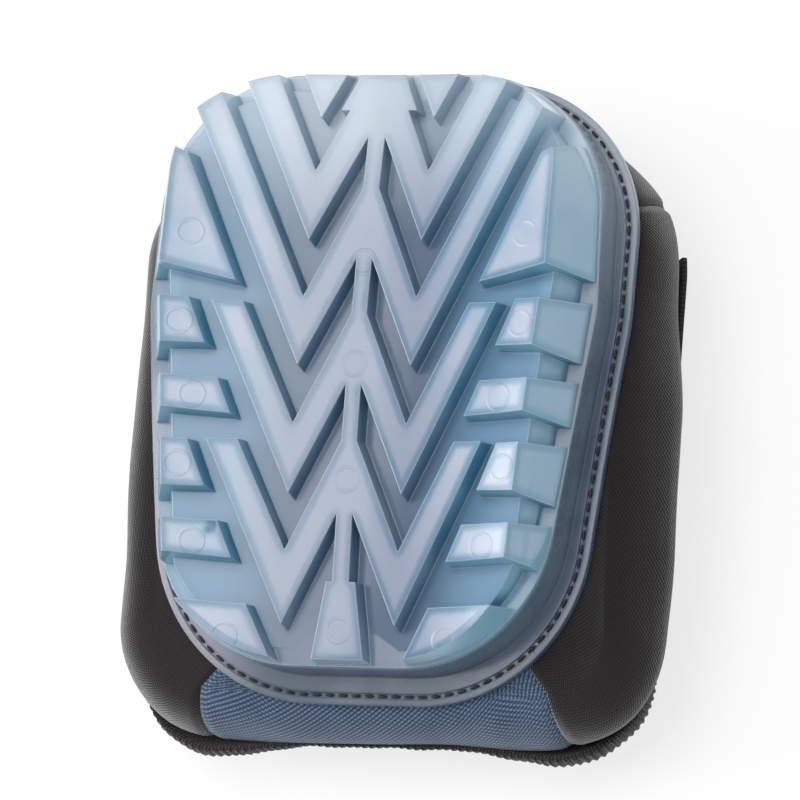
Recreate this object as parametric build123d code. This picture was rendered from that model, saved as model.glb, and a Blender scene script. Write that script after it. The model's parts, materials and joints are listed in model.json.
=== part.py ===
from build123d import *
import math
import os

# Knee pad lying on its straps: +Z out of the cap, +Y towards the thigh, +X the wearer's side.
# Every outline is the hull of mirrored circles, each written (x, y, radius).

# Overall form
FLANGE_TOP = 59.0        # top of the sewn flange at mid length
LONG_RADIUS = 900.0      # lengthwise bend of the whole pad
CAP_CIRCLES = ((29.0, 50.0, 47.0), (36.0, 22.0, 41.0), (18.0, -48.0, 50.0))
FLANGE_CIRCLES = ((30.0, 46.0, 54.0), (36.0, 22.0, 48.0), (18.0, -50.0, 58.0))
BODY_CIRCLES = ((30.0, 38.0, 64.0), (56.0, -81.0, 38.0))

# Cap moulding
FLANGE_THICK = 3.0
WALL = 2.4
ROOF = 2.4
SKIRT_HEIGHT = 15.0      # flange top to the foot of the side lugs
SKIRT_FLARE = 0.8
TREAD_HEIGHT = 26.0      # flange top to the tread at the middle
VALLEY_HALF = 68.0
VALLEY_RISE = 13.0       # how much higher the side ridges stand than the middle
GROOVE_DEPTH = 7.0
GROOVE_RISE = 10.0
GROOVE_INSET = 4.5       # how far the grooves cut into the outer facets
FACET_ANGLE = 24.0
END_ANGLE = 5.0
DRAFT = 5.0

# Tread pattern
ROW_PITCH = 42.0
ROW_APEX = 102.0
ROW_DEPTH = 16.6         # along the pad, at the top of the draft
V_X = 19.6
INNER_SLOPE = 2.14
OUTER_SLOPE = 2.05
SPINE_HALF = 1.2
BLOCK_PITCH = 47.0

# Body
BULGE_Z = 40.0
SHOULDER_ANGLE = 28.0
FLANK_ANGLE = 30.0
SHOULDER_ROUND = 9.0
BACK_Z = 3.9
END_Z = 35.0
FLAT_TOP_Y = 50.0
FLAT_BOTTOM_Y = -62.0
FABRIC = 1.3
CLEAR = 0.05
HOLLOW_RADIUS = 60.0
HOLLOW_Z = -26.0
LINING = 1.2
CUSHION = 10.0
CUSHION_CIRCLES = ((20.0, 38.0, 22.0), (20.0, -40.0, 22.0))
GEL_CIRCLES = ((16.0, 34.0, 16.0), (16.0, -36.0, 16.0))
SEAM_X = 62.0
TOP_SEAM_Y = 58.0
HEM = 1.4
HEM_HEIGHT = 9.0
HEM_UNDER = 11.0

# Straps
STRAP_THICK = 2.2
STRAP_WIDTH = 38.0
STRAP_Y = {"upper": 28.0, "lower": -38.0}
STRAP_END_Z = 29.0
STRAP_ROOT_X = 72.0
PATCH = 1.2
PATCH_GAP = 0.3
TACK_WIDTH = 1.6
TACK_DEPTH = 0.6

# Stitches
STITCH = 3.2
STITCH_PITCH = 4.6
THREAD = 0.8
STITCH_INSET = 3.0
CHANNEL = 0.9

AXIS_Z = FLANGE_TOP - LONG_RADIUS
BEND_AXIS = Axis((0, 0, AXIS_Z), (1, 0, 0))
REACH = 150.0


def outline(circles, grow=0.0):
    rings = []
    for x, y, radius in circles:
        for side in (-1, 1):
            rings.append(Edge.make_circle(radius + grow, Plane((side * x, y, 0))))
    hull = make_hull(rings).face()
    return hull if hull.normal_at().Z > 0 else -hull


def column(circles, grow, low, high, taper=0.0):
    shrink = (high - low) * math.tan(math.radians(taper))
    foot = Pos(0, 0, low) * outline(circles, grow)
    top = Pos(0, 0, high) * outline(circles, grow - shrink)
    return loft([foot, top], ruled=True)


def block(x0, x1, y0, y1, z0, z1):
    size = (x1 - x0, y1 - y0, z1 - z0)
    return Pos(x0, y0, z0) * Box(*size, align=(Align.MIN, Align.MIN, Align.MIN))


def bent(profile):
    """A profile drawn in the XZ plane, swept along the lengthwise bend."""
    start = profile.rotate(BEND_AXIS, -9)
    return revolve(start, BEND_AXIS, revolution_arc=18)


def bent_slab(low, high):
    box = Pos(0, (low + high) / 2) * Rectangle(2 * REACH, high - low)
    return bent(Plane.XZ * box)


def saddle(middle, rise):
    """Everything between the flange and a tread surface that dips across the middle."""
    radius = (VALLEY_HALF**2 + rise**2) / (2 * rise)
    half = 95.0
    edge = middle + radius - math.sqrt(radius**2 - half**2)
    low = FLANGE_TOP - 12
    top = ThreePointArc((-half, edge), (0, middle), (half, edge))
    sides = Polyline((half, edge), (half, low), (-half, low), (-half, edge))
    return bent(Plane.XZ * make_face([top, sides]))


def mirrored(points):
    return points + [(-x, y) for x, y in reversed(points) if x > 0]


def polygon(points, height):
    return Pos(0, 0, height) * make_face(Polyline(*points, close=True))


def spread(points, amount):
    """The same polygon with every side moved outwards."""
    turn = sum(a[0] * b[1] - b[0] * a[1] for a, b in zip(points, points[1:] + points[:1]))
    shift = math.copysign(amount, turn * amount)
    moved = []
    for before, here, after in zip(points[-1:] + points[:-1], points, points[1:] + points[:1]):
        one = (Vector(*here) - Vector(*before)).normalized()
        two = (Vector(*after) - Vector(*here)).normalized()
        middle = Vector(one.Y + two.Y, -one.X - two.X)
        moved.append(Vector(*here) + middle * (shift / (1 + one.dot(two))))
    return [(point.X, point.Y) for point in moved]


def tread_rows():
    """Zigzag bars that meet on the centre line, one row per pitch."""
    rows = []
    ends = (60.0, 60.0, 60.0, 48.0, 46.2)
    for number, end in enumerate(ends):
        apex = ROW_APEX - ROW_PITCH * (number - 1)
        notch = apex - INNER_SLOPE * V_X
        upper = notch + OUTER_SLOPE * (end - V_X)
        tip = [(end, upper), (end, upper - ROW_DEPTH)]
        if number > 2:
            tip = [(end - ROW_DEPTH / OUTER_SLOPE, upper - ROW_DEPTH), (end, upper - ROW_DEPTH)]
        half = [(0, apex), (V_X, notch), *tip, (V_X, notch - ROW_DEPTH), (0, apex - ROW_DEPTH)]
        rows.append(mirrored(half))
    return rows


def centre_lugs():
    """The spine, the fan at the shin end and the wide lug at the thigh end."""
    foot = ROW_APEX - 4 * ROW_PITCH
    spine = mirrored([(SPINE_HALF, 100.0), (SPINE_HALF, foot - 12.0)])
    fan = mirrored([(SPINE_HALF + WALL, foot - 8.0), (10.5, -120.0)])
    head = mirrored([(5.5, 120.0), (5.5, 97.0), (10.5, 86.0)])
    return [spine, fan, head]


def side_blocks():
    """Lugs on one side, alternating long and short, ending beyond the outline."""
    far = 100.0
    shapes = [[(62.0, 67.0), (far, 84.0), (far, 31.0), (68.0, 31.0), (44.0, 27.0)]]
    for number in range(2):
        drop = BLOCK_PITCH * number
        lean = 3.0 * number
        short = [(57.0, 18.5), (far, 19.5), (far, 4.0), (68.0, 4.0), (51.5, 5.0)]
        long = [(46.0, -8.0), (far, -6.0), (far, -17.0), (68.0, -17.0), (42.0, -17.5)]
        for shape in (short, long):
            shapes.append([(x - (lean if x < far else 0), y - drop) for x, y in shape])
    shapes.append([(32.5, -82.0), (far, -79.0), (far, -120.0), (14.0, -120.0)])
    return shapes


def tread_plan():
    plan = [*tread_rows(), *centre_lugs()]
    for points in side_blocks():
        plan.append(points)
        plan.append([(-x, y) for x, y in points])
    return plan


def drafted(points, grow=0.0):
    """One lug standing on its plan, wider towards its foot."""
    high = FLANGE_TOP + TREAD_HEIGHT + VALLEY_RISE + 3
    drop = 30.0
    foot = spread(points, grow + drop * math.tan(math.radians(DRAFT)))
    top = spread(points, grow)
    return loft([polygon(foot, high - drop), polygon(top, high)], ruled=True)


def facets(grow):
    """Outer limit of the lugs: steep facets along the sides, nearly upright ends."""
    base = FLANGE_TOP + SKIRT_HEIGHT
    long = [(x, y + math.copysign(9.0, y), radius) for x, y, radius in CAP_CIRCLES]
    sides = column(long, grow, base, base + 30, FACET_ANGLE)
    ends = column(CAP_CIRCLES, grow, base, base + 30, END_ANGLE)
    return sides & ends


def make_cap():
    base = FLANGE_TOP + SKIRT_HEIGHT
    tread = FLANGE_TOP + TREAD_HEIGHT
    groove = tread - GROOVE_DEPTH
    limit = saddle(tread, VALLEY_RISE) & facets(0)
    floor = saddle(groove, GROOVE_RISE) & facets(-GROOVE_INSET)
    skirt = column(CAP_CIRCLES, SKIRT_FLARE, FLANGE_TOP - 20, base)
    slab = bent_slab(FLANGE_TOP - FLANGE_THICK, FLANGE_TOP + 40)
    outer = skirt & slab
    flange = column(FLANGE_CIRCLES, 0, FLANGE_TOP - 30, FLANGE_TOP + 5)
    outer = outer + (flange & bent_slab(FLANGE_TOP - FLANGE_THICK, FLANGE_TOP))
    outer = outer + floor
    plan = tread_plan()
    for points in plan:
        outer = outer + (drafted(points) & limit)
    roof = saddle(tread - ROOF, VALLEY_RISE) & facets(-WALL)
    void = column(CAP_CIRCLES, SKIRT_FLARE - WALL, FLANGE_TOP - 20, base - WALL)
    void = void + (saddle(groove - WALL, GROOVE_RISE) & facets(-GROOVE_INSET - WALL))
    for points in plan:
        if points is not plan[5]:
            void = void + (drafted(points, -WALL) & roof)
    cap = outer - void
    stitch = column(FLANGE_CIRCLES, CHANNEL - STITCH_INSET, FLANGE_TOP - 30, FLANGE_TOP + 5)
    stitch = stitch - column(FLANGE_CIRCLES, -CHANNEL - STITCH_INSET, FLANGE_TOP - 31, FLANGE_TOP + 6)
    return cap - (stitch & bent_slab(FLANGE_TOP - THREAD, FLANGE_TOP + 2))


def underside(lift):
    """Everything above the back edge, which climbs towards both ends."""
    rise = (END_Z - BACK_Z) / (-119.0 - FLAT_BOTTOM_Y)
    far = REACH + FLAT_BOTTOM_Y
    profile = [
        (-REACH, BACK_Z - rise * far + lift),
        (FLAT_BOTTOM_Y, BACK_Z + lift),
        (FLAT_TOP_Y, BACK_Z + lift),
        (REACH, BACK_Z - rise * (REACH - FLAT_TOP_Y) * 1.15 + lift),
        (REACH, 120),
        (-REACH, 120),
    ]
    face = make_face(Polyline(*[(0, y, z) for y, z in profile], close=True))
    return extrude(face, amount=REACH, dir=(1, 0, 0), both=True)


def flank(grow, low=-4.0, high=BULGE_Z):
    spreading = (high - low) * math.tan(math.radians(FLANK_ANGLE))
    top = grow - (BULGE_Z - high) * math.tan(math.radians(FLANK_ANGLE))
    foot = Pos(0, 0, low) * outline(BODY_CIRCLES, top - spreading)
    return loft([foot, Pos(0, 0, high) * outline(BODY_CIRCLES, top)], ruled=True)


def body(grow, lift, top_drop):
    shoulder = column(BODY_CIRCLES, grow, BULGE_Z, BULGE_Z + 20, SHOULDER_ANGLE)
    whole = flank(grow) + shoulder
    waist = whole.edges().filter_by(lambda e: abs(e.center().Z - BULGE_Z) < 0.01)
    whole = fillet(waist, SHOULDER_ROUND + grow)
    top = bent_slab(FLANGE_TOP - 80, FLANGE_TOP - FLANGE_THICK - top_drop)
    return whole & underside(lift) & top


def hollow(radius, reach=REACH):
    side = Plane.XZ * Pos(0, HOLLOW_Z) * Circle(radius)
    return extrude(side, amount=reach, both=True)


def make_padding():
    """Foam body, knee cushion, gel, lining and the filler under the cap."""
    foam = body(-FABRIC - CLEAR, 0.0, FABRIC + CLEAR)
    room = foam & hollow(HOLLOW_RADIUS)
    lining = room - hollow(HOLLOW_RADIUS - LINING)
    foam = foam - hollow(HOLLOW_RADIUS + CLEAR)
    cushion = hollow(HOLLOW_RADIUS + CUSHION) - hollow(HOLLOW_RADIUS + CLEAR)
    cushion = cushion & column(CUSHION_CIRCLES, 0, 0, 80)
    foam = foam - (hollow(HOLLOW_RADIUS + CUSHION + CLEAR) & column(CUSHION_CIRCLES, CLEAR, 0, 80))
    gel_low = HOLLOW_Z + HOLLOW_RADIUS + CUSHION + 2 * CLEAR
    gel_top = FLANGE_TOP - FLANGE_THICK - FABRIC - 2 * CLEAR
    gel = column(GEL_CIRCLES, 0, gel_low, 90) & bent_slab(FLANGE_TOP - 60, gel_top)
    foam = foam - column(GEL_CIRCLES, CLEAR, 30, 90)
    floor = FLANGE_TOP + TREAD_HEIGHT - GROOVE_DEPTH - WALL - 4 * CLEAR
    room_top = FLANGE_TOP + SKIRT_HEIGHT - WALL - CLEAR
    filler = column(CAP_CIRCLES, SKIRT_FLARE - WALL - 4 * CLEAR, 30, room_top)
    filler = filler & saddle(floor, GROOVE_RISE)
    filler = filler & bent_slab(gel_top + 2 * CLEAR, FLANGE_TOP + 60)
    return foam, cushion, gel, lining, filler


def make_panels():
    """Outer fabric in four panels, seamed at the front corners and across the thigh end."""
    shell = body(0, 0.0, CLEAR) - body(-FABRIC, -5.0, FABRIC + CLEAR)
    shell = shell - column(CAP_CIRCLES, SKIRT_FLARE - WALL + 1, 30, 90)
    lap = CLEAR / 2
    low = TOP_SEAM_Y - lap
    front = shell & block(-SEAM_X + lap, SEAM_X - lap, -REACH, 0, 0, 90)
    top = shell & block(-REACH, REACH, TOP_SEAM_Y + lap, REACH, 0, 90)
    right = shell & block(SEAM_X + lap, REACH, -REACH, low, 0, 90)
    right = right + (shell & block(30, SEAM_X + 1, 0, low, 0, 90))
    left = mirror(right, Plane.YZ)
    return front, left, right, top


def make_hem():
    """Elastic binding folded round the back edge."""
    band = body(HEM, -HEM, 0) - underside(HEM_HEIGHT)
    keep_out = body(CLEAR, -CLEAR, -20)
    inner = flank(-HEM_UNDER, -4.0, BULGE_Z + 30)
    return band - keep_out - inner - hollow(HOLLOW_RADIUS)


def strap_parts(middle):
    """One elastic strap with its hook patch and the loop patch it closes on."""
    half = STRAP_WIDTH / 2
    loop_out = CLEAR + PATCH
    hook_in = loop_out + PATCH_GAP
    hook_out = hook_in + PATCH
    inner = hook_out + CLEAR
    zone = block(20, REACH, middle - half, middle + half, 0, STRAP_END_Z)
    strap = (flank(inner + STRAP_THICK) - flank(inner)) & zone
    span = block(-STRAP_ROOT_X, REACH, middle - half, middle + half, 0, STRAP_THICK)
    strap = strap + (span & flank(inner + STRAP_THICK))
    patch_low = BACK_Z + HEM_HEIGHT + 3
    inset = block(20, REACH, middle - half + 2, middle + half - 2, patch_low, STRAP_END_Z - 1)
    wide = block(20, REACH, middle - half - 1, middle + half + 1, patch_low - 1, STRAP_END_Z + 1)
    hook = (flank(hook_out) - flank(hook_in)) & inset
    loop = (flank(loop_out) - flank(CLEAR)) & wide
    return strap, hook, loop


def bent_point(x, y, level):
    """Where a point at a mid-length level ends up on the bend, with the surface normal."""
    radius = level - AXIS_Z
    rise = math.sqrt(radius**2 - y**2)
    return Vector(x, y, AXIS_Z + rise), Vector(0, y / radius, rise / radius)


def cap_stitches():
    """One row of lock stitches lying in the channel of the flange."""
    path = outline(FLANGE_CIRCLES, -STITCH_INSET).outer_wire()
    count = round(path.length / STITCH_PITCH)
    stitches = []
    for number in range(count):
        at = path.position_at(number / count)
        along = path.tangent_at(number / count)
        point, normal = bent_point(at.X, at.Y, FLANGE_TOP - THREAD / 2 + 0.1)
        stitch = Plane(point, x_dir=along, z_dir=normal) * Box(STITCH, THREAD, THREAD - 0.2)
        stitches.append(stitch)
    return stitches


def bar_tacks(middle):
    """Two bars of thread across the sewn root of a strap, flush in its underside."""
    half = STRAP_WIDTH / 2 - 2
    tacks = []
    for step in (0, 1):
        x = TACK_WIDTH * (1 + 2.5 * step) - STRAP_ROOT_X
        tacks.append((x, x + TACK_WIDTH, middle - half, middle + half))
    return tacks


def main():
    nodes = {"cap": [make_cap()], "cap_stitches": cap_stitches(), "hem": [make_hem()]}
    padding = ("foam_body", "knee_cushion", "gel_insert", "hollow_lining", "cap_filler")
    for name, shape in zip(padding, make_padding()):
        nodes[name] = [shape]
    panels = ("front_panel", "left_panel", "right_panel", "top_panel")
    for name, shape in zip(panels, make_panels()):
        nodes[name] = [shape]
    for name, middle in STRAP_Y.items():
        strap, hook, loop = strap_parts(middle)
        tacks = []
        for x0, x1, y0, y1 in bar_tacks(middle):
            strap = strap - block(x0 - CLEAR, x1 + CLEAR, y0 - CLEAR, y1 + CLEAR, -1, TACK_DEPTH)
            tacks.append(block(x0, x1, y0, y1, CLEAR, TACK_DEPTH - CLEAR))
        nodes[name + "_strap"] = [strap]
        nodes[name + "_hook_patch"] = [hook]
        nodes[name + "_loop_patch"] = [loop]
        nodes[name + "_bar_tacks"] = tacks
    ends = [nodes["hem"][0].bounding_box(), nodes["top_panel"][0].bounding_box()]
    ends.append(nodes["front_panel"][0].bounding_box())
    middle = (min(box.min.Y for box in ends) + max(box.max.Y for box in ends)) / 2
    os.makedirs("parts", exist_ok=True)
    for name, shapes in nodes.items():
        solids = [Pos(0, -middle, 0) * solid for shape in shapes for solid in shape.solids()]
        whole = solids[0] if len(solids) == 1 else Compound(children=solids)
        export_step(whole, "parts/" + name + ".step")


main()
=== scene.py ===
import json
import math
import random

import bpy
from mathutils import Matrix, Vector


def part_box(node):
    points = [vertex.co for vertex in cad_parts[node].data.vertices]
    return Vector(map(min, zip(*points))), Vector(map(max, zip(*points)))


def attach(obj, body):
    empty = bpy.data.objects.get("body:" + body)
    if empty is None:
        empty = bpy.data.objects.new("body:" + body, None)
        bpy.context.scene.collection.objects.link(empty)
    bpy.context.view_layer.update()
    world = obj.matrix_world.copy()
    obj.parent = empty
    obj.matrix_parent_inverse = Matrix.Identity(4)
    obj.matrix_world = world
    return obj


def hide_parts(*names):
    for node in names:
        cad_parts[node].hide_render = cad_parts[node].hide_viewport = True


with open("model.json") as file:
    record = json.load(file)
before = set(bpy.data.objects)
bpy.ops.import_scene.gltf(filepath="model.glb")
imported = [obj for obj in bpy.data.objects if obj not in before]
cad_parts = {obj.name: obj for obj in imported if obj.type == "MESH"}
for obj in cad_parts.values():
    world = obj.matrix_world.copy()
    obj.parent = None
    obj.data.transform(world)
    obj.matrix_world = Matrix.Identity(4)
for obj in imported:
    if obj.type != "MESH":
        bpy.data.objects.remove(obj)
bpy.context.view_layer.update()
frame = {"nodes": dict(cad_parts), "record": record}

# Sizes in metres; the circles are in mm as (x, y, radius), each with a mirror twin.
MM = 0.001
LONG_RADIUS = 0.9
FLANGE_TOP = 0.059
FLANGE_THICK = 0.003
AXIS_Z = FLANGE_TOP - LONG_RADIUS
BULGE_Z = 0.040
FLANK_ANGLE = math.radians(30)
FLANK = math.tan(FLANK_ANGLE)
TURN = 2 * math.pi
HEM_HEIGHT = 0.009
CAP_END_Y = 0.100        # upper end of the cap, measured from the middle of its lengthwise bend
TOP_DRAW = 0.009         # how far the cloth is drawn in at the upper end
FLOOR_LEVEL = 0.019      # groove floor above the flange top on the centre line
FLOOR_RADIUS = 0.2362    # radius of the groove floor across the cap
HOLLOW_RADIUS = 0.0588   # of the knee hollow, about a lengthwise axis at HOLLOW_Z
HOLLOW_Z = -0.026
BACK_LEVEL = 0.0024      # level run of the back edge, before the rounding into its climbs
END_CLIMB = 31.1 / 57.0  # how steeply the back edge climbs towards the lower end
SEAM_LEFT, SEAM_RIGHT, TOP_SEAM = -0.0605, 0.0655, 0.062
SIDE_BULGE = 0.0055      # how far the right side's cloth swells past the body
RIPPLE = 0.00022
HEM_RIB_PITCH = 0.0026
HEM_REACH = 0.0105       # how far the hem is folded in under the body
HEM_FLARE, CORNER_FLARE = 0.0050, 0.0062
HALF_STRAP = 0.0011      # half the thickness of the straps, which lie on the floor
STRAP_ROOT_X = -0.072
STITCH_PITCH, STITCH_LENGTH = 0.0046, 0.0034
STITCH_INSET = 0.003     # from the edge of the flange
PIN_RADIUS = 0.0040      # of the ring marks on the lugs
CAP = ((29, 50, 47), (36, 22, 41), (18, -48, 50))
FLANGE = ((30, 46, 54), (36, 22, 48), (18, -50, 58))
BODY = ((30, 38, 64), (56, -81, 38))

cap_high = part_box("cap")[1]
SHIFT_Y = cap_high.y - CAP_END_Y


# ---------------------------------------------------------------- outlines

class Outline:
    """The hull of mirrored circles as an even loop of points with outward normals."""

    def __init__(self, circles, count):
        discs = [(s * x * MM, y * MM + SHIFT_Y, r * MM) for x, y, r in circles for s in (-1, 1)]
        dense = []
        for k in range(1440):
            a = TURN * k / 1440
            n = Vector((math.cos(a), math.sin(a)))
            disc = max(discs, key=lambda d: d[0] * n.x + d[1] * n.y + d[2])
            dense.append(Vector((disc[0] + disc[2] * n.x, disc[1] + disc[2] * n.y)))
        dense.append(dense[0])
        along = [0.0]
        for one, two in zip(dense, dense[1:]):
            along.append(along[-1] + (two - one).length)
        self.length = along[-1]
        self.points = []
        k = 0
        for i in range(count):
            want = self.length * i / count
            while along[k + 1] < want:
                k += 1
            share = (want - along[k]) / max(along[k + 1] - along[k], 1e-9)
            self.points.append(dense[k].lerp(dense[k + 1], share))
        if circles is BODY:
            drawn = [TOP_DRAW * smooth(0.040, 0.098, p.y - SHIFT_Y) for p in self.points]
            self.points = [Vector((p.x, p.y - d)) for p, d in zip(self.points, drawn)]
        self.normals = []
        for i in range(count):
            t = self.points[(i + 2) % count] - self.points[i - 2]
            self.normals.append(Vector((t.y, -t.x)).normalized())

    def reach(self, centre, direction):
        """Distance from an inner point to the outline along a direction."""
        best = 0.0
        for one, two in zip(self.points, self.points[1:] + self.points[:1]):
            a, b = one - centre, two - centre
            side_a = direction.x * a.y - direction.y * a.x
            side_b = direction.x * b.y - direction.y * b.x
            if side_a * side_b <= 0 and side_a != side_b:
                share = side_a / (side_a - side_b)
                best = max(best, direction.dot(a.lerp(b, share)))
        return best


def bend(y, level):
    """Height of a mid-length level on the lengthwise bend."""
    radius = level - AXIS_Z
    return AXIS_Z + math.sqrt(radius ** 2 - (y - SHIFT_Y) ** 2)


def soft_max(a, b, width):
    """The larger of two numbers, with the corner between them rounded."""
    return 0.5 * (a + b + math.sqrt((a - b) ** 2 + width ** 2))


def back_edge(y):
    """Height of the body's back edge, climbing towards both ends."""
    v = y - SHIFT_Y
    low = soft_max(0.0, -(v + 0.062) * END_CLIMB, 0.006)
    high = soft_max(0.0, (v - 0.050) * END_CLIMB * 1.15, 0.006)
    return BACK_LEVEL + low + high


def smooth(a, b, x):
    """0 below a, 1 above b and an even curve between."""
    t = min(max((x - a) / (b - a), 0.0), 1.0)
    return t * t * (3 - 2 * t)


# ---------------------------------------------------------------- meshes

def grid_mesh(name, rows, uvs, closed_u=False, closed_v=False):
    """Quads over rows of points; every row has the same count."""
    height, width = len(rows), len(rows[0])
    verts = [p for row in rows for p in row]
    faces, coords = [], []
    for i in range(height if closed_u else height - 1):
        for j in range(width if closed_v else width - 1):
            a, b = i, (i + 1) % height
            c, d = j, (j + 1) % width
            faces.append((a * width + c, a * width + d, b * width + d, b * width + c))
            u0, v0 = uvs[a][c]
            u1 = uvs[b][c][0] if b > a else u0 + (uvs[a][c][0] - uvs[a - 1][c][0])
            v1 = uvs[a][d][1] if d > c else v0 + (uvs[a][c][1] - uvs[a][c - 1][1])
            coords += [(u0, v0), (u0, v1), (u1, v1), (u1, v0)]
    mesh = bpy.data.meshes.new(name)
    mesh.from_pydata(verts, [], faces)
    layer = mesh.uv_layers.new(name="cloth")
    for loop, uv in zip(layer.data, coords):
        loop.uv = uv
    mesh.polygons.foreach_set("use_smooth", [True] * len(mesh.polygons))
    obj = bpy.data.objects.new(name, mesh)
    bpy.context.scene.collection.objects.link(obj)
    return obj


def dress(obj, body, slot):
    """Give a piece its body, its slot and its material."""
    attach(obj, body)
    obj.data.materials.append(MATERIALS[slot])


def thicken(obj, depth, offset=-1.0):
    solid = obj.modifiers.new("thickness", "SOLIDIFY")
    solid.thickness = depth
    solid.offset = offset
    return obj


# ---------------------------------------------------------------- materials

def new_material(name, color, roughness):
    mat = bpy.data.materials.new(name)
    mat.use_nodes = True
    tree = mat.node_tree
    shader = tree.nodes["Principled BSDF"]
    shader.inputs["Base Color"].default_value = (*color, 1)
    shader.inputs["Roughness"].default_value = roughness
    return mat, tree, shader


def add(tree, kind, **inputs):
    node = tree.nodes.new(kind)
    for key, value in inputs.items():
        node.inputs[key.replace("_", " ")].default_value = value
    return node


def math_node(tree, operation, one, two=None):
    node = tree.nodes.new("ShaderNodeMath")
    node.operation = operation
    for slot, value in zip(node.inputs, (one, two)):
        if isinstance(value, (int, float)):
            slot.default_value = value
        elif value is not None:
            tree.links.new(value, slot)
    return node.outputs[0]


def centred(tree, value, span):
    """A 0 to 1 value moved to either side of zero."""
    return math_node(tree, "MULTIPLY", math_node(tree, "SUBTRACT", value, 0.5), span)


def output_node(tree):
    return next(n for n in tree.nodes if n.type == "OUTPUT_MATERIAL")


def ramp(tree, value, stops):
    node = tree.nodes.new("ShaderNodeValToRGB")
    elements = node.color_ramp.elements
    while len(elements) < len(stops):
        elements.new(0.5)
    for element, (at, color) in zip(elements, stops):
        element.position = at
        element.color = (*color, 1)
    tree.links.new(value, node.inputs["Fac"])
    return node.outputs["Color"]


def bump(tree, shader, height, strength, distance, base=None):
    node = add(tree, "ShaderNodeBump", Strength=strength, Distance=distance)
    tree.links.new(height, node.inputs["Height"])
    if base is not None:
        tree.links.new(base, node.inputs["Normal"])
    tree.links.new(node.outputs["Normal"], shader.inputs["Normal"])


def cloth_coords(tree):
    uv = tree.nodes.new("ShaderNodeUVMap")
    uv.uv_map = "cloth"
    split = tree.nodes.new("ShaderNodeSeparateXYZ")
    tree.links.new(uv.outputs["UV"], split.inputs[0])
    return uv.outputs["UV"], split.outputs["X"], split.outputs["Y"]


def stripes(tree, u, v, pitch, angle):
    """A wave between 0 and 1 that repeats every pitch metres across an angle."""
    k = TURN / pitch
    one = math_node(tree, "MULTIPLY", u, k * math.cos(angle))
    two = math_node(tree, "MULTIPLY", v, k * math.sin(angle))
    wave = math_node(tree, "SINE", math_node(tree, "ADD", one, two))
    return math_node(tree, "ADD", math_node(tree, "MULTIPLY", wave, 0.5), 0.5)


def noise(tree, vector, scale, detail=3.0):
    node = add(tree, "ShaderNodeTexNoise", Scale=scale, Detail=detail)
    tree.links.new(vector, node.inputs["Vector"])
    return node.outputs["Fac"]


def woven(name, dark, light, pitch, degrees, roughness, depth=0.0004, sheen=0.3):
    """Twill cloth: slanted ribs broken by the crossing yarns, with uneven dye and wear."""
    mat, tree, shader = new_material(name, light, roughness)
    uv, u, v = cloth_coords(tree)
    angle = math.radians(degrees)
    ribs = stripes(tree, u, v, pitch, angle)
    cross = stripes(tree, u, v, pitch * 1.15, angle + math.radians(68))
    cross = math_node(tree, "ADD", math_node(tree, "MULTIPLY", cross, 0.6), 0.4)
    weave = math_node(tree, "MULTIPLY", ribs, cross)
    patch = noise(tree, uv, 60.0, 5.0)
    grain = noise(tree, uv, 2600.0, 2.0)
    tone = math_node(tree, "ADD", weave, centred(tree, patch, 0.5))
    tone = math_node(tree, "ADD", tone, centred(tree, grain, 0.5))
    tree.links.new(ramp(tree, tone, [(0.1, dark), (0.85, light)]), shader.inputs["Base Color"])
    shader.inputs["Sheen Weight"].default_value = sheen
    shader.inputs["Sheen Roughness"].default_value = 0.45
    shader.inputs["Specular IOR Level"].default_value = 0.25
    bump(tree, shader, weave, 0.6, depth)
    return mat


def grainy(name, base, roughness, scale, detail, stops, strength=0.0, distance=0.0):
    """A plain stuff with a speckled or cloudy tone and, if asked, a rough surface."""
    mat, tree, shader = new_material(name, base, roughness)
    coords = tree.nodes.new("ShaderNodeTexCoord")
    tone = noise(tree, coords.outputs["Object"], scale, detail)
    tree.links.new(ramp(tree, tone, stops), shader.inputs["Base Color"])
    if strength:
        bump(tree, shader, tone, strength, distance)
    return mat


# name: dark yarn, light yarn, rib pitch, rib angle in degrees, roughness
WOVEN = {
    "blue_weave": ((0.018, 0.034, 0.068), (0.14, 0.20, 0.30), 0.0013, 52, 0.72),
    "black_fabric": ((0.0050, 0.0034, 0.0038), (0.021, 0.0138, 0.0150), 0.0009, 45, 0.85),
    "ribbed_elastic": ((0.007, 0.006, 0.006), (0.05, 0.04, 0.036), 0.0012, 0, 0.8),
    "strap_elastic": ((0.006, 0.006, 0.007), (0.035, 0.035, 0.038), 0.0012, 0, 0.78),
    "lining_mesh": ((0.008, 0.008, 0.009), (0.06, 0.06, 0.065), 0.0022, 60, 0.85),
}
WOVEN_EXTRA = {"black_fabric": {"sheen": 0.6}, "lining_mesh": {"depth": 0.0008}}

# name: base, roughness, grain scale, detail, dark and light stops, relief strength, relief depth
GRAINY = {
    "black_thread": ((0.012, 0.012, 0.014), 0.55, 900.0, 3.0,
                     [(0.3, (0.006, 0.006, 0.007)), (0.7, (0.03, 0.03, 0.034))]),
    "hook_and_loop": ((0.012, 0.012, 0.013), 0.9, 1500.0, 4.0,
                      [(0.3, (0.004, 0.004, 0.004)), (0.75, (0.04, 0.04, 0.042))], 0.8, 0.0008),
    "foam": ((0.05, 0.055, 0.065), 0.9, 700.0, 4.0,
             [(0.3, (0.035, 0.04, 0.05)), (0.7, (0.075, 0.08, 0.095))], 0.4, 0.0005),
    "gel": ((0.30, 0.40, 0.52), 0.5, 40.0, 4.0,
            [(0.3, (0.20, 0.29, 0.40)), (0.7, (0.34, 0.44, 0.56))]),
}


def make_materials():
    made = {name: woven(name, *row, **WOVEN_EXTRA.get(name, {})) for name, row in WOVEN.items()}
    made.update({name: grainy(name, *row) for name, row in GRAINY.items()})
    made["clear_cap"] = cap_material()
    return made


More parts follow.
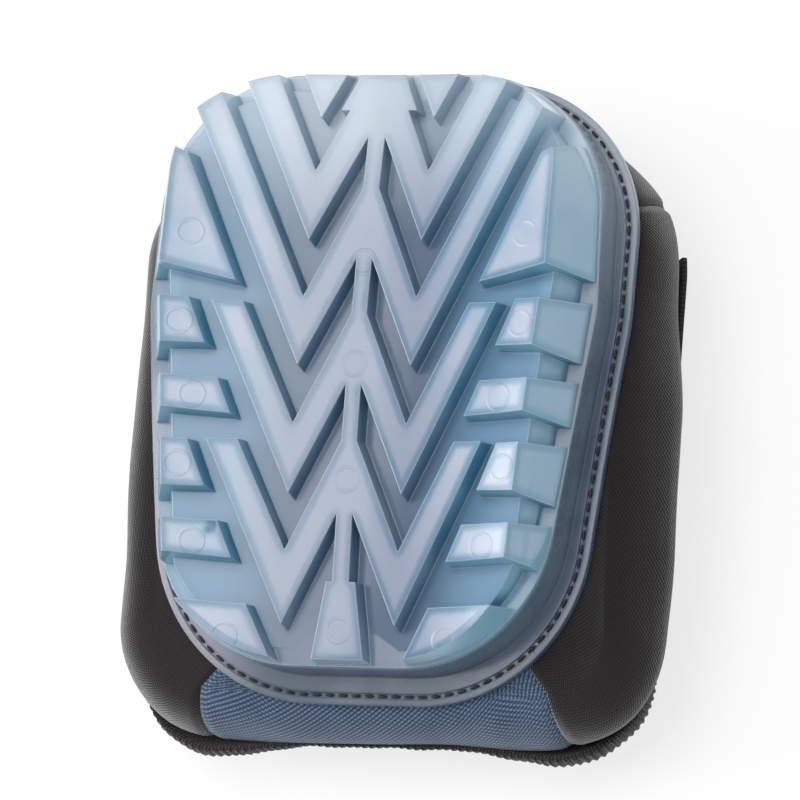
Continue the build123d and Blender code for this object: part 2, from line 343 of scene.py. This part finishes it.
def ease(tree, value, low, high, start=0.0, end=1.0):
    """A smooth step of a value from start at low to end at high."""
    node = tree.nodes.new("ShaderNodeMapRange")
    node.interpolation_type = "SMOOTHSTEP"
    tree.links.new(value, node.inputs["Value"])
    for name, number in (("From Min", low), ("From Max", high), ("To Min", start), ("To Max", end)):
        node.inputs[name].default_value = number
    return node.outputs["Result"]


def blend_colors(tree, share, one, two):
    node = tree.nodes.new("ShaderNodeMix")
    node.data_type = "RGBA"
    sockets = [x for x in node.inputs if x.enabled]
    for socket, value in zip(sockets, (share, one, two)):
        if isinstance(value, tuple):
            socket.default_value = (*value, 1)
        elif isinstance(value, float):
            socket.default_value = value
        else:
            tree.links.new(value, socket)
    return next(x for x in node.outputs if x.enabled)


def edge_mask(tree, radius, low, high):
    """1 within a radius of an edge and 0 on open faces."""
    round_off = add(tree, "ShaderNodeBevel", Radius=radius)
    round_off.samples = 6
    flat = tree.nodes.new("ShaderNodeNewGeometry")
    dot = tree.nodes.new("ShaderNodeVectorMath")
    dot.operation = "DOT_PRODUCT"
    tree.links.new(round_off.outputs["Normal"], dot.inputs[0])
    tree.links.new(flat.outputs["True Normal"], dot.inputs[1])
    turn = math_node(tree, "SUBTRACT", 1.0, dot.outputs["Value"])
    turn = math_node(tree, "MAXIMUM", math_node(tree, "MULTIPLY", turn, 2.0), 0.0)
    return ease(tree, math_node(tree, "SQRT", turn), low, high)


SIDE_RINGS = ((58, 41), (59, 11), (53, -13), (56, -36), (50, -61), (38, -91))
MIDDLE_RINGS = ((0, 33), (0, -1), (0, -39), (0, -88))
PIN_RINGS = SIDE_RINGS + MIDDLE_RINGS


def cap_material():
    """Clear tinted moulding: pale roofs, blue-green walls and rims, painted shade (from ambient
    occlusion) deeper in the walls and grooves, painted edge highlights, and a grey sewn flange with a
    painted reflection at its lower left.
    """
    mat, tree, shader = new_material("clear_cap", (0.6, 0.7, 0.8), 0.2)
    coords = tree.nodes.new("ShaderNodeTexCoord")
    place = coords.outputs["Object"]
    split = tree.nodes.new("ShaderNodeSeparateXYZ")
    tree.links.new(place, split.inputs[0])
    across = math_node(tree, "ABSOLUTE", split.outputs["X"])
    along = math_node(tree, "SUBTRACT", split.outputs["Y"], SHIFT_Y)
    lift = math_node(tree, "SUBTRACT", split.outputs["Z"], AXIS_Z)
    along_squared = math_node(tree, "MULTIPLY", along, along)
    lift_squared = math_node(tree, "MULTIPLY", lift, lift)
    squares = math_node(tree, "ADD", along_squared, lift_squared)
    level = math_node(tree, "SUBTRACT", math_node(tree, "SQRT", squares), LONG_RADIUS)
    geometry = tree.nodes.new("ShaderNodeNewGeometry")
    facing = tree.nodes.new("ShaderNodeSeparateXYZ")
    tree.links.new(geometry.outputs["True Normal"], facing.inputs[0])
    upward = ease(tree, facing.outputs["Z"], 0.30, 0.52)
    # painted shade: ambient occlusion darkens the colour in grooves, hollows and low on the walls,
    # mixed with a random cloudy tone
    shelter = add(tree, "ShaderNodeAmbientOcclusion", Distance=0.011)
    shelter.samples = 8
    openness = shelter.outputs["AO"]
    cloud = noise(tree, place, 42.0, 4.0)
    fine = noise(tree, place, 900.0, 3.0)
    ao_shade_and_cloud = math_node(tree, "ADD", openness, centred(tree, cloud, 0.5))
    rim = edge_mask(tree, 0.0042, 0.05, 0.15)
    # painted highlight: a thin pale band along sharp edges stands in for glints off the rounded moulded
    # edges
    line = edge_mask(tree, 0.0008, 0.25, 0.50)
    middle = ease(tree, across, 0.018, 0.046, 1.0, 0.0)

    roof = blend_colors(tree, ease(tree, cloud, 0.35, 0.65), (0.58, 0.63, 0.76), (0.46, 0.57, 0.72))
    roof = blend_colors(tree, math_node(tree, "MULTIPLY", middle, 0.85), roof, (0.34, 0.39, 0.50))
    rim_color = blend_colors(tree, middle, (0.075, 0.27, 0.42), (0.12, 0.22, 0.35))
    roof = blend_colors(tree, math_node(tree, "MULTIPLY", rim, 0.9), roof, rim_color)
    # painted shade: sheltered level faces take the darker groove colour, open ones the pale roof colour
    ground = blend_colors(tree, middle, (0.26, 0.44, 0.60), (0.20, 0.29, 0.42))
    lit = ease(tree, ao_shade_and_cloud, 0.55, 0.88)
    level_faces = blend_colors(tree, lit, ground, roof)
    across_squared = math_node(tree, "MULTIPLY", across, across)
    dish = math_node(tree, "MULTIPLY", across_squared, 0.5 / FLOOR_RADIUS)
    above = math_node(tree, "SUBTRACT", math_node(tree, "SUBTRACT", level, FLOOR_LEVEL), dish)
    near_bed = ease(tree, math_node(tree, "ABSOLUTE", above), 0.0010, 0.0018, 0.9, 0.0)
    bed = math_node(tree, "MULTIPLY", near_bed, ease(tree, across, 0.060, 0.066, 1.0, 0.0))
    bed_color = blend_colors(tree, middle, (0.17, 0.34, 0.50), (0.13, 0.20, 0.31))
    level_faces = blend_colors(tree, bed, level_faces, bed_color)
    # painted shade: sheltered walls take the deep teal, open walls the paler teal
    deep = blend_colors(tree, middle, (0.11, 0.40, 0.58), (0.18, 0.31, 0.45))
    pale = blend_colors(tree, middle, (0.30, 0.60, 0.76), (0.32, 0.45, 0.60))
    walls = blend_colors(tree, ease(tree, ao_shade_and_cloud, 0.30, 0.80), deep, pale)
    color = blend_colors(tree, upward, walls, level_faces)
    color = blend_colors(tree, ease(tree, along, 0.040, 0.095, 0.0, 0.62), color, (0.78, 0.88, 0.96))
    # painted highlight laid along the edges
    color = blend_colors(tree, math_node(tree, "MULTIPLY", line, 0.8), color, (0.74, 0.84, 0.94))
    sewn = ease(tree, level, 0.0135, 0.0185, 1.0, 0.0)
    edge_band = blend_colors(tree, ease(tree, cloud, 0.4, 0.6), (0.11, 0.145, 0.21), (0.15, 0.19, 0.26))
    edge_band = blend_colors(tree, ease(tree, along, 0.0, 0.085), edge_band, (0.36, 0.41, 0.49))
    # painted reflection: the lower left of the flange is lightened to a whitish grey
    left_side = ease(tree, split.outputs["X"], -0.062, -0.030, 0.75, 0.0)
    painted_reflection = math_node(tree, "MULTIPLY", left_side, ease(tree, along, -0.02, 0.01, 1.0, 0.0))
    edge_band = blend_colors(tree, painted_reflection, edge_band, (0.50, 0.48, 0.54))
    color = blend_colors(tree, math_node(tree, "MULTIPLY", sewn, 0.93), color, edge_band)
    tree.links.new(color, shader.inputs["Base Color"])

    rough = math_node(tree, "ADD", math_node(tree, "MULTIPLY", fine, 0.10), 0.17)
    tree.links.new(rough, shader.inputs["Roughness"])
    shader.inputs["Transmission Weight"].default_value = 0.35
    shader.inputs["IOR"].default_value = 1.42
    shader.inputs["Coat Weight"].default_value = 0.35
    shader.inputs["Coat Roughness"].default_value = 0.12
    nearest = None
    flat = tree.nodes.new("ShaderNodeCombineXYZ")
    tree.links.new(across, flat.inputs["X"])
    tree.links.new(along, flat.inputs["Y"])
    for x, y in PIN_RINGS:
        gap = tree.nodes.new("ShaderNodeVectorMath")
        gap.operation = "DISTANCE"
        tree.links.new(flat.outputs[0], gap.inputs[0])
        gap.inputs[1].default_value = (x * MM, y * MM, 0)
        reach = gap.outputs["Value"]
        nearest = reach if nearest is None else math_node(tree, "MINIMUM", nearest, reach)
    ring = math_node(tree, "ABSOLUTE", math_node(tree, "SUBTRACT", nearest, PIN_RADIUS))
    ring = math_node(tree, "MULTIPLY", ease(tree, ring, 0.0002, 0.0007, 1.0, 0.0), upward)
    relief = math_node(tree, "ADD", math_node(tree, "MULTIPLY", fine, 0.15), ring)
    soft = add(tree, "ShaderNodeBevel", Radius=0.0009)
    soft.samples = 6
    bump(tree, shader, relief, 0.35, 0.0004, soft.outputs["Normal"])
    soak = tree.nodes.new("ShaderNodeVolumeAbsorption")
    soak.inputs["Color"].default_value = (0.30, 0.66, 0.84, 1)
    soak.inputs["Density"].default_value = 45.0
    tree.links.new(soak.outputs[0], output_node(tree).inputs["Volume"])
    return mat


# ---------------------------------------------------------------- body covering

COUNT = 560
body_line = Outline(BODY, COUNT)
cap_line = Outline(CAP, 240)
flange_line = Outline(FLANGE, 400)
CENTRE = Vector((0.0, SHIFT_Y))

# (offset from the body outline, height at mid length) from the shoulder down to the waist
SHOULDER = ((-0.0150, 0.0562), (-0.0115, 0.0560), (-0.0085, 0.0548), (-0.0058, 0.0525))
SHOULDER += ((-0.0036, 0.0492), (-0.0020, 0.0455), (-0.0012, 0.0418), (-0.0013, 0.0385))
SHOULDER += ((-0.0026, 0.0352),)
WAIST_Z = SHOULDER[-1][1]
UNDER_STEPS = 8          # points between the cap wall and the shoulder
FLANK_STEPS = 12         # points between the waist and the hem


def draw_wave():
    return random.uniform(0, 6.28), random.choice((9, 13, 17, 23, 31)), random.uniform(0.2, 1)


def cover_rows():
    """For each step round the body: points from under the flange, over the shoulder, to the hem."""
    random.seed(4)
    waves = [draw_wave() for _ in range(8)]
    rows, uvs = [], []
    for i in range(COUNT):
        p, n = body_line.points[i], body_line.normals[i]
        around = i / COUNT
        inner = cap_line.reach(CENTRE, (p - CENTRE).normalized()) - 0.002
        start = CENTRE + (p - CENTRE).normalized() * inner
        row = []
        first = p + n * SHOULDER[0][0]
        for k in range(UNDER_STEPS):
            share = k / UNDER_STEPS
            q = start.lerp(first, share)
            row.append((q, FLANGE_TOP - FLANGE_THICK - 0.0002 * (1 - share), True))
        for inset, level in SHOULDER:
            row.append((p + n * inset, level, True))
        end_y = (p + n * -0.02).y
        low = back_edge(end_y) + HEM_HEIGHT - 0.0045
        for k in range(1, FLANK_STEPS + 1):
            z = WAIST_Z + (low - WAIST_Z) * k / FLANK_STEPS
            if low >= WAIST_Z:
                z = WAIST_Z - 0.0002 * k
            row.append((p + n * (-(BULGE_Z - z) * FLANK), z, False))
        points, lengths = [], []
        for k, (q, level, curved) in enumerate(row):
            # the first rows of the flank still follow the bend a little
            drop = FLANGE_TOP - bend(q.y, FLANGE_TOP)
            z = bend(q.y, level) if curved else level - drop * smooth(0.0, 1.0, (20 - k) / 8)
            ripple = sum(w * math.sin(f * TURN * around + a + 0.5 * k) for a, f, w in waves) * RIPPLE
            side = smooth(0.060, 0.088, p.x) * smooth(-0.030, 0.010, SHIFT_Y - p.y)
            bulge = SIDE_BULGE * side * math.exp(-((z - 0.041) / 0.011) ** 2)
            push = ripple * smooth(8, 13, k) + bulge
            points.append(Vector((q.x + n.x * push, q.y + n.y * push, z)))
        along = 0.0
        for k, point in enumerate(points):
            if k:
                along += (point - points[k - 1]).length
            lengths.append((around * body_line.length, along))
        rows.append(points)
        uvs.append(lengths)
    return rows, uvs


rows, uvs = cover_rows()


def steps_where(test):
    return {i for i in range(COUNT) if test(body_line.points[i])}


def panel(name, node, chosen, slot):
    """A run of the covering between two seams, drawn in along each; blue cloth is laid flat."""
    run = []
    start = next(i for i in chosen if (i - 1) % COUNT not in chosen)
    i = start
    while i in chosen:
        run.append(i)
        i = (i + 1) % COUNT
    run.append(i)
    flat = slot == "blue_weave"
    strip, marks = [], []
    for k, i in enumerate(run):
        away = min(k, len(run) - 1 - k)
        tuck = 0.0011 * (1 - smooth(0, 3, away))
        n = body_line.normals[i]
        shape = [Vector((p.x - n.x * tuck, p.y - n.y * tuck, p.z - tuck * 0.5)) for p in rows[i]]
        strip.append(shape)
        length = uvs[i][0][0] + (body_line.length if i < start else 0)
        marks.append([(q.x if flat else length, v) for q, (_, v) in zip(shape, uvs[i])])
    obj = thicken(grid_mesh(name, strip, marks), 0.0013)
    dress(obj, "pad", slot)
    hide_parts(node)


MATERIALS = make_materials()
front = steps_where(lambda p: SEAM_LEFT < p.x < SEAM_RIGHT and p.y < SHIFT_Y)
top = steps_where(lambda p: p.y > SHIFT_Y + TOP_SEAM)
right = steps_where(lambda p: p.x > 0) - front - top
left = set(range(COUNT)) - front - top - right
panel("front_cover", "front_panel", front, "blue_weave")
panel("top_cover", "top_panel", top, "black_fabric")
panel("right_cover", "right_panel", right, "black_fabric")
panel("left_cover", "left_panel", left, "black_fabric")


def make_hem():
    """Elastic binding gathered into ribs, folded round the back edge."""
    count = 2400
    line = Outline(BODY, count)
    ribs = round(line.length / HEM_RIB_PITCH)
    loops, marks = [], []
    for i in range(count):
        p, n = line.points[i], line.normals[i]
        share = i / count
        edge = back_edge((p + n * -0.02).y)
        end = smooth(0.070, 0.112, -(p.y - SHIFT_Y))
        corner = smooth(0.020, 0.066, abs(p.x))
        flare = end * (HEM_FLARE + CORNER_FLARE * corner)

        def at(z, out):
            level = min(z, 0.052)
            drop = min(max((edge + HEM_HEIGHT - z) / HEM_HEIGHT, 0.0), 1.0)
            base = -(BULGE_Z - min(level, 0.036)) * FLANK
            held = 1 - min(max(-out / HEM_REACH, 0.0), 1.0)
            span = base + out + flare * (0.5 + 0.5 * drop) * held
            return Vector((p.x + n.x * span, p.y + n.y * span, level))

        rib = 0.5 + 0.5 * math.cos(TURN * ribs * share)
        gather = math.sin(37 * TURN * share) * math.sin(11 * TURN * share + 1)
        swell = 0.0007 * rib + 0.0003 * gather
        # (height above the back edge, reach outwards) round the folded binding
        roll = [(HEM_HEIGHT - 0.0005, 0.0004), (HEM_HEIGHT, 0.0014 + swell * 0.5)]
        roll += [(HEM_HEIGHT - 0.002, 0.0019 + swell), (0.0045, 0.0022 + swell)]
        roll += [(0.0015, 0.0021 + swell), (-0.0003, 0.0014 + swell * 0.6), (-0.0012, -0.0004)]
        roll += [(-0.0012, -0.004), (-0.0012, -HEM_REACH), (-0.0004, -HEM_REACH - 0.0007)]
        roll += [(0.0006, -HEM_REACH)]
        roll += [(0.0008, -0.004), (0.0030, -0.0012)]
        loop = [at(edge + z, out) for z, out in roll]
        loops.append(loop)
        marks.append([(share * line.length, k * 0.002) for k in range(len(loop))])
    obj = grid_mesh("gathered_hem", loops, marks, closed_u=True, closed_v=True)
    dress(obj, "pad", "ribbed_elastic")
    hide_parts("hem")


make_hem()


def make_lining():
    """Soft mesh over the knee hollow and out to the hem."""
    steps = 40
    strips, marks = [], []
    for i in range(0, COUNT, 2):
        p, n = body_line.points[i], body_line.normals[i]
        edge = back_edge((p + n * -0.02).y)
        rim = p + n * (-(BULGE_Z - edge) * FLANK - 0.0085)
        strip, lengths = [], []
        for k in range(steps + 1):
            q = CENTRE.lerp(rim, max(k / steps, 0.004))
            inside = max(HOLLOW_RADIUS ** 2 - q.x ** 2, 0.0)
            hollow = HOLLOW_Z + math.sqrt(inside)
            z = soft_max(hollow, back_edge(q.y) + 0.0004, 0.003) - 0.0007
            if k == steps:
                z = edge + 0.0002
            strip.append(Vector((q.x, q.y, z)))
            lengths.append((q.x, q.y))
        strips.append(strip)
        marks.append(lengths)
    obj = thicken(grid_mesh("hollow_cloth", strips, marks, closed_u=True), 0.001, 0.0)
    dress(obj, "pad", "lining_mesh")
    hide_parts("hollow_lining", "foam_body", "knee_cushion", "gel_insert")


make_lining()


# ---------------------------------------------------------------- stitches and straps

def thread_mesh(name, runs, radius):
    """Short rounded lengths of thread, each a (middle, along, up, length)."""
    rings, around = 6, 8
    verts, faces = [], []
    for middle, along, up, length in runs:
        side = along.cross(up).normalized()
        base = len(verts)
        for k in range(rings + 1):
            t = -1 + 2 * k / rings
            thick = radius * (0.35 + 0.65 * math.sqrt(max(0.0, 1 - abs(t) ** 3)))
            dip = up * (radius * 0.9 * (1 - t * t) - radius * 0.6)
            centre = middle + along * (t * length / 2) + dip
            for m in range(around):
                a = TURN * m / around
                verts.append(centre + (side * math.cos(a) + up * math.sin(a)) * thick)
        for k in range(rings):
            for m in range(around):
                a, b = base + k * around + m, base + k * around + (m + 1) % around
                faces.append((a, b, b + around, a + around))
        faces.append(tuple(base + m for m in reversed(range(around))))
        faces.append(tuple(base + rings * around + m for m in range(around)))
    mesh = bpy.data.meshes.new(name)
    mesh.from_pydata([tuple(v) for v in verts], [], faces)
    mesh.polygons.foreach_set("use_smooth", [True] * len(mesh.polygons))
    obj = bpy.data.objects.new(name, mesh)
    bpy.context.scene.collection.objects.link(obj)
    dress(obj, "pad", "black_thread")
    return obj


def cap_thread():
    """The row of stitches through the flange."""
    inset = [p - n * STITCH_INSET for p, n in zip(flange_line.points, flange_line.normals)]
    along = [0.0]
    for one, two in zip(inset, inset[1:] + inset[:1]):
        along.append(along[-1] + (two - one).length)
    count = round(along[-1] / STITCH_PITCH)
    runs, k = [], 0
    for i in range(count):
        want = along[-1] * i / count
        while along[k + 1] < want:
            k += 1
        after = inset[(k + 1) % len(inset)]
        q = inset[k].lerp(after, (want - along[k]) / (along[k + 1] - along[k]))
        t = (after - inset[k]).normalized()
        z = bend(q.y, FLANGE_TOP)
        slope = -(q.y - SHIFT_Y) / LONG_RADIUS
        forward = Vector((t.x, t.y, t.y * slope)).normalized()
        up = Vector((0, -slope, 1)).normalized()
        runs.append((Vector((q.x, q.y, z - 0.0003)), forward, up, STITCH_LENGTH))
    obj = thread_mesh("cap_thread", runs, 0.0005)
    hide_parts("cap_stitches")


cap_thread()


def make_strap(name):
    """Elastic webbing: flat under the pad, turned up the side wing, with woven edges."""
    low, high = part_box(name + "_strap")
    half = (high.y - low.y) / 2
    steps = 24
    side_x, side_y, side_radius = (c * MM for c in BODY[0])
    foot = side_x + side_radius - BULGE_Z * FLANK + 0.0028
    corner = foot - 0.006
    leg_low, leg_high = 0.0075, high.z - 0.0004
    flat = [(STRAP_ROOT_X + k * 0.004, HALF_STRAP) for k in range(36)]
    centreline = [(x, z) for x, z in flat if x < corner]
    for k in range(1, 8):
        a = math.radians(90) * k / 8
        centreline.append((corner + 0.0062 * math.sin(a), HALF_STRAP + 0.0045 * (1 - math.cos(a))))
    for k in range(9):
        z = leg_low + (leg_high - leg_low) * k / 8
        centreline.append((foot + HALF_STRAP / math.cos(FLANK_ANGLE) + z * FLANK, z))
    strips, marks, along = [], [], 0.0
    for k, (x, z) in enumerate(centreline):
        if k:
            along += math.dist(centreline[k - 1], (x, z))
        strip, lengths = [], []
        for m in range(steps + 1):
            v = -half + 2 * half * m / steps
            arc = max(low.y + half + v - SHIFT_Y - side_y, 0.0)
            draw = side_radius - math.sqrt(side_radius ** 2 - arc ** 2)
            pull = draw * smooth(0.060, 0.074, x)
            strip.append(Vector((x - pull, low.y + half + v, z)))
            lengths.append((along, v))
        strips.append(strip)
        marks.append(lengths)
    obj = thicken(grid_mesh(name + "_webbing", strips, marks), 0.0019, 0.0)
    edge = obj.modifiers.new("edges", "BEVEL")
    edge.width = 0.0004
    edge.segments = 2
    dress(obj, name + "_strap", "strap_elastic")
    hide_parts(name + "_strap")


for side in ("upper", "lower"):
    make_strap(side)

slots = {part["node"]: part["material_slot"] for part in frame["record"]["subparts"]}
for node, obj in frame["nodes"].items():
    obj.data.materials.clear()
    obj.data.materials.append(MATERIALS["gel" if node == "cap_filler" else slots[node]])


# ---------------------------------------------------------------- studio

def look():
    """Set the camera and return its right, up and backward directions."""
    azimuth, elevation, roll = math.radians(63.0), math.radians(67.0), math.radians(-60.3)
    across = math.cos(elevation)
    back = Vector((math.sin(azimuth) * across, -math.cos(azimuth) * across, math.sin(elevation)))
    right = Vector((0, 0, 1)).cross(back).normalized()
    up = back.cross(right)
    x = right * math.cos(roll) + up * math.sin(roll)
    y = up * math.cos(roll) - right * math.sin(roll)
    target = Vector((0, SHIFT_Y - 0.005, 0.060)) + x * 0.0065 - y * 0.003
    data = bpy.data.cameras.new("camera")
    data.sensor_width = 36
    distance = 2.5
    shown_width = 0.262
    data.lens = data.sensor_width * distance / shown_width
    data.clip_end = 20
    camera = bpy.data.objects.new("camera", data)
    place = Matrix((x, y, back)).transposed().to_4x4()
    place.translation = target + back * distance
    camera.matrix_world = place
    bpy.context.scene.collection.objects.link(camera)
    bpy.context.scene.camera = camera
    return x, y, back


def lamp(name, where, size, power):
    data = bpy.data.lights.new(name, "AREA")
    data.shape = "DISK"
    data.size = size
    data.energy = power
    obj = bpy.data.objects.new(name, data)
    obj.location = where
    aim = Vector((0, 0, 0.05)) - where
    obj.rotation_euler = aim.to_track_quat("-Z", "Y").to_euler()
    bpy.context.scene.collection.objects.link(obj)


def mixed(tree, share, one, two):
    node = tree.nodes.new("ShaderNodeMixShader")
    tree.links.new(share, node.inputs[0])
    tree.links.new(one.outputs[0], node.inputs[1])
    tree.links.new(two.outputs[0], node.inputs[2])
    return node


def make_floor():
    """Pale floor that keeps a soft shadow, and can be seen through from below."""
    mesh = bpy.data.meshes.new("floor")
    half = 6.0
    corners = [(-half, -half, 0), (half, -half, 0), (half, half, 0), (-half, half, 0)]
    mesh.from_pydata(corners, [], [(0, 1, 2, 3)])
    floor = bpy.data.objects.new("floor", mesh)
    floor.location.z = -0.0002
    bpy.context.scene.collection.objects.link(floor)
    mat, tree, shader = new_material("floor_paint", (0.93, 0.93, 0.93), 0.9)
    glow = add(tree, "ShaderNodeEmission", Strength=1.0)
    seen = tree.nodes.new("ShaderNodeLightPath")
    share = math_node(tree, "MULTIPLY", seen.outputs["Is Camera Ray"], 0.75)
    painted = mixed(tree, share, shader, glow)
    below = tree.nodes.new("ShaderNodeNewGeometry")
    clear = tree.nodes.new("ShaderNodeBsdfTransparent")
    surface = mixed(tree, below.outputs["Backfacing"], painted, clear)
    tree.links.new(surface.outputs[0], output_node(tree).inputs["Surface"])
    mesh.materials.append(mat)


def make_world():
    world = bpy.data.worlds.new("world")
    bpy.context.scene.world = world
    world.use_nodes = True
    tree = world.node_tree
    sky = tree.nodes["Background"]
    sky.inputs["Color"].default_value = (0.95, 0.97, 1.0, 1)
    seen = tree.nodes.new("ShaderNodeLightPath")
    shine = math_node(tree, "MULTIPLY", seen.outputs["Is Camera Ray"], 0.45)
    tree.links.new(math_node(tree, "ADD", shine, 0.55), sky.inputs["Strength"])


def studio():
    x, y, back = look()
    lamp("key", x * -0.7 + y * 0.6 + back * 1.5, 1.4, 18.0)
    lamp("side", x * -1.5 + y * 0.1 + back * 0.25, 0.8, 12.0)
    lamp("fill", x * 1.2 - y * 0.3 + back * 0.9, 1.2, 1.5)
    make_floor()
    make_world()
    bpy.context.scene.view_settings.view_transform = "Standard"


studio()
